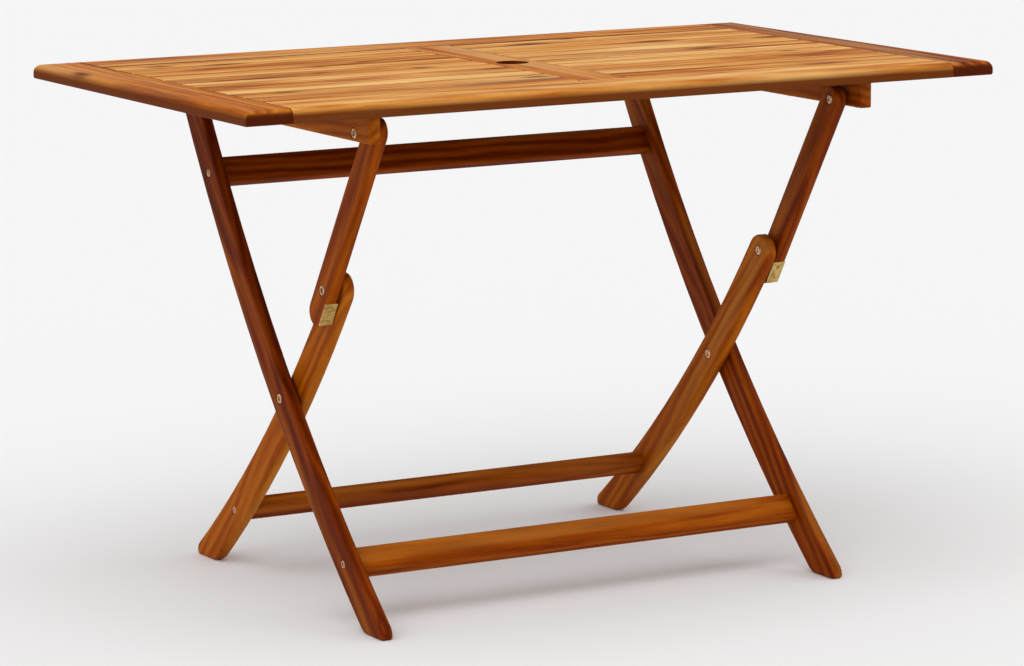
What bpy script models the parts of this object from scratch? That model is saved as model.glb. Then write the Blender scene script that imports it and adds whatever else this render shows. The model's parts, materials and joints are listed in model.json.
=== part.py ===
"""A folding wooden picnic table with a slatted top and curved, scissoring X legs.

Units are metres. +X runs along the table's length, +Y towards its back edge, +Z up. The origin is on
the floor under the middle of the top. The table is drawn open, standing on its feet.

The outer frame hangs from the battens at the back and stands on its front feet. The lower frame crosses
inside it and stands on its back feet. A pair of upper links joins the battens' front ends to the lower
frame's knees, so the whole under-frame is a four-bar linkage that folds up against the top.
"""
import math

import bmesh
import bpy
from mathutils import Matrix, Vector

# Driving dimensions ------------------------------------------------------------------------------

TOP_LENGTH = 1.200
TOP_DEPTH = 0.700
TOP_HEIGHT = 0.750
TOP_THICKNESS = 0.0205
END_RAIL_WIDTH = 0.070
LONG_RAIL_WIDTH = 0.089
CENTRE_BOARD_WIDTH = 0.076
SLATS_PER_HALF = 10
SLAT_GAP = 0.006
PARASOL_HOLE_RADIUS = 0.024
TOP_EDGE_ROUND = 0.011
UNDER_EDGE_ROUND = 0.0025
SLAT_EDGE_ROUND = 0.0010

TONGUE_THICKNESS = 0.008
TONGUE_LENGTH = 0.010
GROOVE_STOP = 0.018

BATTEN_THICKNESS = 0.0185
BATTEN_HEIGHT = 0.0380
BATTEN_LENGTH = 0.650
BATTEN_INNER_FACE = 0.387

BAR_THICKNESS = 0.0185
LEG_HALF_WIDTH = 0.0243
LINK_HALF_WIDTH = 0.0200
BAR_EDGE_ROUND = 0.0040
OUTER_BAR_FACE = 0.380
LOWER_BAR_FACE = 0.3575

# The legs are arcs. Each is measured by its arc length from the crossing pivot, positive downwards.
CROSSING = Vector((0.0085, 0.2905))
OUTER_LEAN = 0.704
OUTER_BEND_RADIUS = 2.712
OUTER_SIDE = -1
LOWER_LEAN = 0.7197
LOWER_BEND_RADIUS = 2.245
LOWER_SIDE = 1
LEG_PIVOT_ARC = -0.5030
KNEE_ARC = -0.2227
LINK_PIVOT = Vector((-0.281, 0.702))
LOWER_TOP_BEYOND_KNEE = -0.001
LINK_TAIL_BEYOND_KNEE = 0.040
TOE_HEIGHT = 0.014
TOE_TOP_SWEEP = 0.008
TOE_SWEEP = 0.0055
HEEL_SWEEP = 0.011

OUTER_STRETCHER_WIDTH = 0.042
OUTER_STRETCHER_THICKNESS = 0.018
LOWER_STRETCHER_WIDTH = 0.034
LOWER_STRETCHER_THICKNESS = 0.022
TOP_STRETCHER_ARC = -0.372
FOOT_STRETCHER_ARC = 0.281
LOWER_STRETCHER_ARC = 0.283

KNEE_PLATE_TOP = 0.009
KNEE_PLATE_BOTTOM = 0.048
KNEE_PLATE_THICKNESS = 0.0016
KNEE_PLATE_FLANGE = 0.016

BOLT_RADIUS = 0.003
BOLT_HEAD_RADIUS = 0.0072
BOLT_HEAD_HEIGHT = 0.0022
SOCKET_RADIUS = 0.0030
SOCKET_DEPTH = 0.0015
HEAD_SUNK = 0.0004
BOLT_END_SETBACK = 0.0010
HEAD_CLEARANCE = 0.0009
WASHER_RADIUS = 0.0085
SCREW_SEAT_RADIUS = 0.0066
SCREW_SEAT_DEPTH = 0.0022

GAP = 0.0003
CUT_MARGIN = 0.01
MERGE = 0.0001
ARC_STEPS = 12
END_STEPS = 10
SWEEP_STEPS = 4
EDGE_STEPS = 4
ROUND_STEPS = 16
HOLE_STEPS = 24

# Sizes that follow -------------------------------------------------------------------------------

UNDERSIDE = TOP_HEIGHT - TOP_THICKNESS
MID_TOP = TOP_HEIGHT - TOP_THICKNESS / 2
HALF_LENGTH = TOP_LENGTH / 2
HALF_DEPTH = TOP_DEPTH / 2
END_RAIL_INNER = HALF_LENGTH - END_RAIL_WIDTH
LONG_RAIL_INNER = HALF_DEPTH - LONG_RAIL_WIDTH
HALF_CENTRE_BOARD = CENTRE_BOARD_WIDTH / 2
SLAT_PITCH = (2 * LONG_RAIL_INNER - SLAT_GAP) / SLATS_PER_HALF
SLAT_WIDTH = SLAT_PITCH - SLAT_GAP
BATTEN_OUTER_FACE = BATTEN_INNER_FACE + BATTEN_THICKNESS
BATTEN_BOTTOM = UNDERSIDE - GAP - BATTEN_HEIGHT
OUTER_BAR_INNER = OUTER_BAR_FACE - BAR_THICKNESS
LOWER_BAR_INNER = LOWER_BAR_FACE - BAR_THICKNESS
HOLE_RADIUS = BOLT_RADIUS + GAP
HEAD_SEAT_RADIUS = BOLT_HEAD_RADIUS + HEAD_CLEARANCE
HEAD_SEAT_DEPTH = BOLT_HEAD_HEIGHT + HEAD_SUNK + GAP
SIDES = (("left", -1), ("right", 1))

# Turns an object's local X, Y and Z into the table's Y, Z and X.
SIDE_VIEW = (math.radians(90), 0, math.radians(90))


# Scene, materials and collections ----------------------------------------------------------------

def clear_scene():
    for obj in list(bpy.data.objects):
        bpy.data.objects.remove(obj, do_unlink=True)


def make_collection(name):
    collection = bpy.data.collections.new(name)
    bpy.context.scene.collection.children.link(collection)
    return collection


def make_material(name, colour, roughness, metallic=0.0):
    material = bpy.data.materials.new(name)
    material.use_nodes = True
    shader = material.node_tree.nodes["Principled BSDF"]
    shader.inputs["Base Color"].default_value = (*colour, 1.0)
    shader.inputs["Roughness"].default_value = roughness
    shader.inputs["Metallic"].default_value = metallic
    return material


# Building blocks ---------------------------------------------------------------------------------

def add_object(name, mesh, collection, material=None):
    obj = bpy.data.objects.new(name, mesh)
    collection.objects.link(obj)
    if material:
        mesh.materials.append(material)
    return obj


def box_mesh(name, low, high, edge_round=0.0, segments=2, pick=None):
    """A box between two corners; the edges that pick accepts are rounded."""
    low, high = Vector(low), Vector(high)
    size = high - low
    bm = bmesh.new()
    bmesh.ops.create_cube(bm, size=1.0)
    bmesh.ops.scale(bm, vec=size, verts=bm.verts)
    bmesh.ops.translate(bm, vec=(low + high) / 2, verts=bm.verts)
    if edge_round:
        edges = [edge for edge in bm.edges if pick is None or pick(edge)]
        bmesh.ops.bevel(bm, geom=edges, offset=edge_round, segments=segments, profile=0.5, affect="EDGES")
    mesh = bpy.data.meshes.new(name)
    bm.to_mesh(mesh)
    bm.free()
    return mesh


def make_cutter(name, mesh):
    cutter = add_object(name, mesh, CUTTERS)
    cutter.hide_render = True
    cutter.display_type = "WIRE"
    return cutter


def box_cutter(name, low, high):
    return make_cutter(name, box_mesh(name, low, high))


def rod_mesh(name, start, end, radius, steps=HOLE_STEPS):
    """A straight round rod between two points."""
    start, end = Vector(start), Vector(end)
    along = end - start
    turn = Vector((0, 0, 1)).rotation_difference(along).to_matrix().to_4x4()
    place = Matrix.Translation((start + end) / 2) @ turn
    bm = bmesh.new()
    bmesh.ops.create_cone(bm, cap_ends=True, segments=steps, radius1=radius, radius2=radius,
                          depth=along.length, matrix=place)
    mesh = bpy.data.meshes.new(name)
    bm.to_mesh(mesh)
    bm.free()
    return mesh


def rod_cutter(name, start, end, radius):
    return make_cutter(name, rod_mesh(name, start, end, radius))


def combine(obj, other, operation):
    modifier = obj.modifiers.new(other.name, "BOOLEAN")
    modifier.operation = operation
    modifier.solver = "EXACT"
    modifier.object = other


def cut(obj, *cutters):
    for cutter in cutters:
        combine(obj, cutter, "DIFFERENCE")


def smooth(obj, sharp_angle=35):
    obj.data.shade_smooth()
    obj.data.set_sharp_from_angle(angle=math.radians(sharp_angle))


def mesh_from_outline(name, points, half_thickness, edge_round):
    """A flat bar: a closed outline in local X and Y, as thick as twice half_thickness along local Z."""
    curve = bpy.data.curves.new(name, "CURVE")
    curve.dimensions = "2D"
    curve.fill_mode = "BOTH"
    curve.extrude = half_thickness
    spline = curve.splines.new("POLY")
    spline.points.add(len(points) - 1)
    for place, point in zip(spline.points, points):
        place.co = (point[0], point[1], 0, 1)
    spline.use_cyclic_u = True
    guide = bpy.data.objects.new(name + "_outline", curve)
    CUTTERS.objects.link(guide)
    bpy.context.view_layer.update()
    evaluated = guide.evaluated_get(bpy.context.evaluated_depsgraph_get())
    mesh = bpy.data.meshes.new_from_object(evaluated)
    bpy.data.objects.remove(guide, do_unlink=True)
    bm = bmesh.new()
    bm.from_mesh(mesh)
    bmesh.ops.remove_doubles(bm, verts=bm.verts, dist=MERGE / 10)
    bmesh.ops.dissolve_limit(bm, angle_limit=math.radians(0.5), verts=bm.verts, edges=bm.edges)
    rims = [edge for edge in bm.edges if edge.calc_face_angle(0) > math.radians(60)
            and abs(edge.verts[0].co.z - edge.verts[1].co.z) < MERGE]
    bmesh.ops.bevel(bm, geom=rims, offset=edge_round, segments=2, profile=0.5, affect="EDGES")
    bm.to_mesh(mesh)
    bm.free()
    return mesh


def turned_mesh(name, profile):
    """A turned piece's profile of (radius, height) pairs, listed down its outer side."""
    mesh = bpy.data.meshes.new(name)
    vertices = [(radius, 0, height) for radius, height in profile]
    edges = [(i, i + 1) for i in range(len(profile) - 1)]
    if profile[0][0] > 0:
        edges.append((len(profile) - 1, 0))
    mesh.from_pydata(vertices, edges, [])
    return mesh


def turned(name, profile, place, axis):
    """A turned steel piece with its local Z along axis. Its Screw modifier makes the solid."""
    obj = add_object(name, turned_mesh(name, profile), TABLE, STEEL)
    obj.location = place
    obj.rotation_mode = "QUATERNION"
    obj.rotation_quaternion = Vector((0, 0, 1)).rotation_difference(Vector(axis))
    screw = obj.modifiers.new("turn", "SCREW")
    screw.steps = ROUND_STEPS
    screw.render_steps = ROUND_STEPS
    screw.use_merge_vertices = True
    screw.merge_threshold = MERGE / 10


def hang(name, point, bodies, parent=None):
    """Parent a moving frame's pieces to an empty on the axis that it turns about."""
    pivot = bpy.data.objects.new(name, None)
    TABLE.objects.link(pivot)
    pivot.empty_display_size = 0.05
    pivot.location = (0, *point)
    bpy.context.view_layer.update()
    if parent:
        pivot.parent = parent
        pivot.matrix_parent_inverse = parent.matrix_world.inverted()
    for obj in TABLE.objects:
        if obj.name.startswith(bodies) and obj is not pivot:
            obj.parent = pivot
            obj.matrix_parent_inverse = pivot.matrix_world.inverted()
    return pivot


# The legs' curves --------------------------------------------------------------------------------

def leg_point(leg, arc, offset=0.0):
    """A point (Y, Z) on a leg: arc below the crossing, and offset from its centre line to the front."""
    lean, radius, side = leg
    angle = lean + arc / radius
    y = side * radius * (math.cos(lean) - math.cos(angle)) - offset * math.cos(angle)
    z = -radius * (math.sin(angle) - math.sin(lean)) - offset * side * math.sin(angle)
    return CROSSING + Vector((y, z))


def leg_arc_at_height(leg, height, offset):
    """The arc length at which one edge of a leg comes down to a height, by halving the interval."""
    low, high = 0.0, 0.6
    for _ in range(40):
        middle = (low + high) / 2
        if leg_point(leg, middle, offset).y > height:
            low = middle
        else:
            high = middle
    return (low + high) / 2


def leg_angle(leg, arc):
    """A leg's slope at a point, as the turn about X that brings a board's +Y face to its front."""
    lean, radius, side = leg
    return side * (lean + arc / radius)


OUTER_LEG = (OUTER_LEAN, OUTER_BEND_RADIUS, OUTER_SIDE)
LOWER_LEG = (LOWER_LEAN, LOWER_BEND_RADIUS, LOWER_SIDE)
LEG_PIVOT = leg_point(OUTER_LEG, LEG_PIVOT_ARC)
KNEE = leg_point(LOWER_LEG, KNEE_ARC)
LINK_ALONG = (KNEE - LINK_PIVOT).normalized()
LINK_FRONT = Vector((LINK_ALONG.y, -LINK_ALONG.x))


def link_point(beyond_knee, offset=0.0):
    """A point (Y, Z) on the upper link: past the knee along it, and offset to its front edge."""
    return KNEE + LINK_ALONG * beyond_knee + LINK_FRONT * offset


def half_circle(centre, start_direction, radius):
    """Points round half a circle, from start_direction and turning from +Y towards +Z."""
    points = []
    for step in range(1, END_STEPS):
        angle = math.pi * step / END_STEPS
        points.append(centre + radius * (Matrix.Rotation(angle, 2) @ start_direction))
    return points


def swept(points, sweeps):
    """The outline with some corners swept round; sweeps gives how far from its corner each starts."""
    result = []
    for index, point in enumerate(points):
        if index not in sweeps:
            result.append(point)
            continue
        before = point + (points[index - 1] - point).normalized() * sweeps[index]
        after = point + (points[index + 1] - point).normalized() * sweeps[index]
        for step in range(SWEEP_STEPS + 1):
            share = step / SWEEP_STEPS
            result.append(before.lerp(point, share).lerp(point.lerp(after, share), share))
    return result


def leg_outline(leg, top_arc):
    """A curved leg's outline: round top, flat foot, and a toe cut upright on its leaning side."""
    half = LEG_HALF_WIDTH
    side = leg[2]
    toe_offset = -side * half
    heel_offset = side * half
    toe_arc = leg_arc_at_height(leg, TOE_HEIGHT, toe_offset)
    heel_arc = leg_arc_at_height(leg, 0.0, heel_offset)
    toe = leg_point(leg, toe_arc, toe_offset)
    end_arc = {toe_offset: toe_arc, heel_offset: heel_arc}
    front = [leg_point(leg, top_arc + (end_arc[half] - top_arc) * i / ARC_STEPS, half)
             for i in range(ARC_STEPS + 1)]
    back = [leg_point(leg, top_arc + (end_arc[-half] - top_arc) * i / ARC_STEPS, -half)
            for i in range(ARC_STEPS + 1)]
    foot = [Vector((toe.x, 0.0))]
    end_sweep = {toe_offset: TOE_TOP_SWEEP, heel_offset: HEEL_SWEEP}
    sweeps = {ARC_STEPS: end_sweep[half], ARC_STEPS + 1: TOE_SWEEP, ARC_STEPS + 2: end_sweep[-half]}
    top = leg_point(leg, top_arc)
    cap = half_circle(top, (back[0] - top).normalized(), half)
    return swept(front + foot + back[::-1] + cap, sweeps)


def link_outline():
    """The upper link's outline: a straight bar with both ends round."""
    half = LINK_HALF_WIDTH
    tail = link_point(LINK_TAIL_BEYOND_KNEE)
    tail_cap = half_circle(tail, LINK_FRONT, half)
    top_cap = half_circle(LINK_PIVOT, -LINK_FRONT, half)
    return ([LINK_PIVOT + LINK_FRONT * half, tail + LINK_FRONT * half] + tail_cap
            + [tail - LINK_FRONT * half, LINK_PIVOT - LINK_FRONT * half] + top_cap)


# The slatted top ---------------------------------------------------------------------------------

def on_plane(edge, axis, value):
    return all(abs(vert.co[axis] - value) < MERGE for vert in edge.verts)


def round_rims(mesh, pick):
    """Round a board of the top broadly above and narrowly below, along the edges that pick accepts."""
    for height, radius, steps in ((TOP_HEIGHT, TOP_EDGE_ROUND, EDGE_STEPS), (UNDERSIDE, UNDER_EDGE_ROUND, 2)):
        bm = bmesh.new()
        bm.from_mesh(mesh)
        rims = [edge for edge in bm.edges if on_plane(edge, 2, height) and pick(edge)]
        bmesh.ops.bevel(bm, geom=rims, offset=radius, segments=steps, profile=0.5, affect="EDGES")
        bm.to_mesh(mesh)
        bm.free()


def make_end_rails():
    """The full-depth boards at both ends, with a stopped groove for the tongues along the inner edge."""
    for label, side in SIDES:
        outer = side * HALF_LENGTH
        inner = side * END_RAIL_INNER
        low = (min(outer, inner), -HALF_DEPTH, UNDERSIDE)
        high = (max(outer, inner), HALF_DEPTH, TOP_HEIGHT)

        mesh = box_mesh("end_rail_" + label, low, high)
        round_rims(mesh, lambda edge: not on_plane(edge, 0, inner))
        rail = add_object("end_rail_" + label, mesh, TABLE, TOP_WOOD)
        groove_depth = TONGUE_LENGTH + GAP
        groove = box_cutter("end_groove_" + label,
                            (min(inner + side * groove_depth, inner - side * CUT_MARGIN),
                             -HALF_DEPTH + GROOVE_STOP - GAP, MID_TOP - TONGUE_THICKNESS / 2 - GAP),
                            (max(inner + side * groove_depth, inner - side * CUT_MARGIN),
                             HALF_DEPTH - GROOVE_STOP + GAP, MID_TOP + TONGUE_THICKNESS / 2 + GAP))
        cut(rail, groove)
        smooth(rail)


def add_tongues(board, boxes):
    for number, (low, high) in enumerate(boxes, 1):
        tongue = box_cutter(f"{board.name}_tongue_{number}", low, high)
        combine(board, tongue, "UNION")


def make_long_rails():
    """The front and back boards between the end rails, rounded along their outer edges."""
    for label, side in (("front", -1), ("back", 1)):
        outer = side * HALF_DEPTH
        inner = side * LONG_RAIL_INNER
        reach = END_RAIL_INNER - GAP
        low = (-reach, min(outer, inner), UNDERSIDE)
        high = (reach, max(outer, inner), TOP_HEIGHT)
        mesh = box_mesh("long_rail_" + label, low, high)
        round_rims(mesh, lambda edge: on_plane(edge, 1, outer))
        rail = add_object("long_rail_" + label, mesh, TABLE, TOP_WOOD)
        tongue_edges = sorted((side * (HALF_DEPTH - GROOVE_STOP), inner + side * GAP))
        boxes = []
        for end in (-1, 1):
            ends = sorted((end * (reach + TONGUE_LENGTH), end * (reach - CUT_MARGIN)))
            boxes.append(((ends[0], tongue_edges[0], MID_TOP - TONGUE_THICKNESS / 2),
                          (ends[1], tongue_edges[1], MID_TOP + TONGUE_THICKNESS / 2)))
        add_tongues(rail, boxes)
        depth_edges = sorted((inner + side * (TONGUE_LENGTH + GAP), inner - side * CUT_MARGIN))
        mortise = box_cutter("long_mortise_" + label,
                             (-HALF_CENTRE_BOARD + CUT_MARGIN - GAP, depth_edges[0],
                              MID_TOP - TONGUE_THICKNESS / 2 - GAP),
                             (HALF_CENTRE_BOARD - CUT_MARGIN + GAP, depth_edges[1],
                              MID_TOP + TONGUE_THICKNESS / 2 + GAP))
        cut(rail, mortise)
        smooth(rail)


def make_centre_board():
    """The board across the middle, grooved for the slats and bored for a parasol pole."""
    reach = LONG_RAIL_INNER - GAP
    mesh = box_mesh("centre_board", (-HALF_CENTRE_BOARD, -reach, UNDERSIDE),
                    (HALF_CENTRE_BOARD, reach, TOP_HEIGHT))
    board = add_object("centre_board", mesh, TABLE, TOP_WOOD)
    boxes = []
    for end in (-1, 1):
        ends = sorted((end * (reach + TONGUE_LENGTH), end * (reach - CUT_MARGIN)))
        boxes.append(((-HALF_CENTRE_BOARD + CUT_MARGIN, ends[0], MID_TOP - TONGUE_THICKNESS / 2),
                      (HALF_CENTRE_BOARD - CUT_MARGIN, ends[1], MID_TOP + TONGUE_THICKNESS / 2)))
    add_tongues(board, boxes)
    for label, side in SIDES:
        edges = sorted((side * (HALF_CENTRE_BOARD - TONGUE_LENGTH - GAP),
                        side * (HALF_CENTRE_BOARD + CUT_MARGIN)))
        groove = box_cutter("centre_groove_" + label,
                            (edges[0], -reach + SLAT_GAP - GAP, MID_TOP - TONGUE_THICKNESS / 2 - GAP),
                            (edges[1], reach - SLAT_GAP + GAP, MID_TOP + TONGUE_THICKNESS / 2 + GAP))
        cut(board, groove)
    hole = rod_cutter("parasol_hole", (0, 0, UNDERSIDE - CUT_MARGIN), (0, 0, TOP_HEIGHT + CUT_MARGIN),
                      PARASOL_HOLE_RADIUS)
    cut(board, hole)
    smooth(board)


def slat_centre(number):
    """The Y of a slat's middle; slats count from the front."""
    return -LONG_RAIL_INNER + SLAT_GAP + SLAT_WIDTH / 2 + number * SLAT_PITCH


def make_slats():
    """The loose slats of both halves, each with a tongue at both ends."""
    low_end = HALF_CENTRE_BOARD + GAP
    high_end = END_RAIL_INNER - GAP
    for label, side in SIDES:
        for number in range(SLATS_PER_HALF):
            name = f"slat_{label}_{number + 1:02d}"
            middle = slat_centre(number)
            ends = sorted((side * low_end, side * high_end))
            mesh = box_mesh(name, (ends[0], middle - SLAT_WIDTH / 2, UNDERSIDE),
                            (ends[1], middle + SLAT_WIDTH / 2, TOP_HEIGHT), SLAT_EDGE_ROUND, 1,
                            lambda edge: on_plane(edge, 2, TOP_HEIGHT)
                            and abs(edge.verts[0].co.x - edge.verts[1].co.x) > MERGE)
            slat = add_object(name, mesh, TABLE, TOP_WOOD)
            boxes = []
            for end, outward in ((ends[0], -1), (ends[1], 1)):
                span = sorted((end + outward * TONGUE_LENGTH, end - outward * CUT_MARGIN))
                boxes.append(((span[0], middle - SLAT_WIDTH / 2 + GAP, MID_TOP - TONGUE_THICKNESS / 2),
                              (span[1], middle + SLAT_WIDTH / 2 - GAP, MID_TOP + TONGUE_THICKNESS / 2)))
            add_tongues(slat, boxes)


def make_battens():
    """The bearers under the top, bored for the pivots of the links and of the outer legs."""
    for label, side in SIDES:
        faces = sorted((side * BATTEN_INNER_FACE, side * BATTEN_OUTER_FACE))
        mesh = box_mesh("batten_" + label, (faces[0], -BATTEN_LENGTH / 2, BATTEN_BOTTOM),
                        (faces[1], BATTEN_LENGTH / 2, UNDERSIDE - GAP), 0.0015, 1)
        batten = add_object("batten_" + label, mesh, TABLE, LEG_WOOD)
        for point in (LINK_PIVOT, LEG_PIVOT):
            drill_bar(batten, side, point, BATTEN_INNER_FACE, BATTEN_OUTER_FACE, outer_seat=True)


# Pivots and screws -------------------------------------------------------------------------------

def drill_bar(bar, side, point, inner, outer, outer_seat=False, inner_seat=False):
    """Drill a bolt hole across a bar, with a shallow seat for a head at its outer or inner face."""
    tag = f"{bar.name}_bolt_{round(point.x * 1000)}_{round(point.y * 1000)}"
    y, z = point
    cut(bar, rod_cutter(tag, (side * (inner - CUT_MARGIN), y, z), (side * (outer + CUT_MARGIN), y, z),
                        HOLE_RADIUS))
    if outer_seat:
        cut(bar, rod_cutter(tag + "_outer_seat", (side * (outer - HEAD_SEAT_DEPTH), y, z),
                            (side * (outer + CUT_MARGIN), y, z), HEAD_SEAT_RADIUS))
    if inner_seat:
        cut(bar, rod_cutter(tag + "_inner_seat", (side * (inner - CUT_MARGIN), y, z),
                            (side * (inner + HEAD_SEAT_DEPTH), y, z), HEAD_SEAT_RADIUS))


def bolt_profile(length):
    """A socket-head bolt: head at the top, round socket in it, and a plain shank of a length."""
    head = BOLT_HEAD_HEIGHT
    return [(0, head - SOCKET_DEPTH), (SOCKET_RADIUS, head - SOCKET_DEPTH), (SOCKET_RADIUS, head),
            (BOLT_HEAD_RADIUS - 0.0008, head), (BOLT_HEAD_RADIUS, head - 0.0008), (BOLT_HEAD_RADIUS, 0),
            (BOLT_RADIUS, 0), (BOLT_RADIUS, -length), (0, -length)]


def ring_profile(inner, outer, height):
    return [(inner, height), (outer, height), (outer, 0), (inner, 0)]


def place_bolt(name, side, point, outer_face, nut_face):
    """A bolt let in at |X| = outer_face, ending inside the nut that is let in at |X| = nut_face."""
    seat = outer_face - HEAD_SUNK - BOLT_HEAD_HEIGHT
    length = seat - (nut_face + HEAD_SUNK + BOLT_END_SETBACK)
    turned(name, bolt_profile(length), (side * seat, *point), (side, 0, 0))


def place_nut(name, side, point, inner_face):
    """A round nut let into the inner face at |X| = inner_face, round the shank's end."""
    profile = ring_profile(BOLT_RADIUS + GAP, BOLT_HEAD_RADIUS, BOLT_HEAD_HEIGHT)
    turned(name, profile, (side * (inner_face + HEAD_SUNK), *point), (side, 0, 0))


def place_ring(name, side, point, inner_face, outer_face):
    """A spacer or washer round a shank between two faces, with a gap at each."""
    profile = ring_profile(BOLT_RADIUS + GAP, WASHER_RADIUS, outer_face - inner_face - 2 * GAP)
    turned(name, profile, (side * (inner_face + GAP), *point), (side, 0, 0))


def make_pivots():
    """The bolts, nuts and spacers at the four pivots of each side."""
    for label, side in SIDES:
        for pivot, point in (("link_pivot", LINK_PIVOT), ("leg_pivot", LEG_PIVOT)):
            place_bolt(f"{pivot}_bolt_{label}", side, point, BATTEN_OUTER_FACE, OUTER_BAR_INNER)
            place_nut(f"{pivot}_nut_{label}", side, point, OUTER_BAR_INNER)
            place_ring(f"{pivot}_spacer_{label}", side, point, OUTER_BAR_FACE, BATTEN_INNER_FACE)
        place_bolt("knee_bolt_" + label, side, KNEE, OUTER_BAR_FACE, LOWER_BAR_INNER)
        place_nut("knee_nut_" + label, side, KNEE, LOWER_BAR_INNER)
        place_ring("knee_washer_" + label, side, KNEE, LOWER_BAR_FACE, OUTER_BAR_INNER)
        seat = OUTER_BAR_FACE - HEAD_SUNK - BOLT_HEAD_HEIGHT
        turned("crossing_bolt_" + label, bolt_profile(seat - OUTER_BAR_INNER - GAP),
               (side * seat, *CROSSING), (side, 0, 0))
        seat = LOWER_BAR_INNER + HEAD_SUNK + BOLT_HEAD_HEIGHT
        turned("crossing_nut_" + label, bolt_profile(LOWER_BAR_FACE - GAP - seat),
               (side * seat, *CROSSING), (-side, 0, 0))


def seat_screws(side, leg, bar, arcs, bar_face):
    """Shallow round seats in a leg's outer face for the heads of its stretchers' screws."""
    for number, arc in enumerate(arcs, 1):
        y, z = leg_point(leg, arc)
        cut(bar, rod_cutter(f"{bar.name}_screw_seat_{number}", (side * (bar_face - SCREW_SEAT_DEPTH), y, z),
                            (side * (bar_face + CUT_MARGIN), y, z), SCREW_SEAT_RADIUS))


# The under-frame ---------------------------------------------------------------------------------

def make_bars(name, outline, face):
    """A left and a right bar of one outline, whose outer faces are at |X| = face."""
    bars = []
    for label, side in SIDES:
        mesh = mesh_from_outline(f"{name}_{label}", outline, BAR_THICKNESS / 2, BAR_EDGE_ROUND)
        bar = add_object(f"{name}_{label}", mesh, TABLE, LEG_WOOD)
        bar.rotation_euler = SIDE_VIEW
        bar.location = (side * (face - BAR_THICKNESS / 2), 0, 0)
        smooth(bar)
        bars.append(bar)
    return bars


def make_stretcher(name, leg, arc, width, thickness, reach):
    """A cross rail between two legs, turned to lie along them."""
    y, z = leg_point(leg, arc)
    mesh = box_mesh(name, (-reach, -thickness / 2, -width / 2), (reach, thickness / 2, width / 2), 0.003, 2,
                    lambda edge: abs(edge.verts[0].co.x - edge.verts[1].co.x) > MERGE)
    rail = add_object(name, mesh, TABLE, LEG_WOOD)
    rail.location = (0, y, z)
    rail.rotation_euler = (leg_angle(leg, arc), 0, 0)
    smooth(rail)


def make_outer_frame():
    """The legs that hang from the battens' back ends, and the two rails between them."""
    arcs = (TOP_STRETCHER_ARC, FOOT_STRETCHER_ARC)
    legs = make_bars("outer_leg", leg_outline(OUTER_LEG, LEG_PIVOT_ARC), OUTER_BAR_FACE)
    for (label, side), leg in zip(SIDES, legs):
        drill_bar(leg, side, LEG_PIVOT, OUTER_BAR_INNER, OUTER_BAR_FACE, inner_seat=True)
        drill_bar(leg, side, CROSSING, OUTER_BAR_INNER, OUTER_BAR_FACE, outer_seat=True)
        seat_screws(side, OUTER_LEG, leg, arcs, OUTER_BAR_FACE)
    for name, arc in zip(("outer_top_stretcher", "outer_foot_stretcher"), arcs):
        make_stretcher(name, OUTER_LEG, arc, OUTER_STRETCHER_WIDTH, OUTER_STRETCHER_THICKNESS,
                       OUTER_BAR_INNER - GAP)


def make_lower_frame():
    """The legs that stand behind the table and end at the knees, and the rail between them."""
    top_arc = KNEE_ARC - LOWER_TOP_BEYOND_KNEE
    legs = make_bars("lower_leg", leg_outline(LOWER_LEG, top_arc), LOWER_BAR_FACE)
    for (label, side), leg in zip(SIDES, legs):
        drill_bar(leg, side, KNEE, LOWER_BAR_INNER, LOWER_BAR_FACE, inner_seat=True)
        drill_bar(leg, side, CROSSING, LOWER_BAR_INNER, LOWER_BAR_FACE, inner_seat=True)
        seat_screws(side, LOWER_LEG, leg, (LOWER_STRETCHER_ARC,), LOWER_BAR_FACE)
    make_stretcher("lower_stretcher", LOWER_LEG, LOWER_STRETCHER_ARC, LOWER_STRETCHER_WIDTH,
                   LOWER_STRETCHER_THICKNESS, LOWER_BAR_INNER - GAP)


def place_on_link(obj, x):
    """Turn a piece so that its local X runs down the link and its Y to the front; return its Z's X."""
    down = Vector((0, *LINK_ALONG))
    front = Vector((0, *LINK_FRONT))
    across = down.cross(front)
    turn = Matrix((down, front, across)).transposed().to_4x4()
    obj.matrix_world = Matrix.Translation(Vector((x, *KNEE))) @ turn
    return across.x


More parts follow.
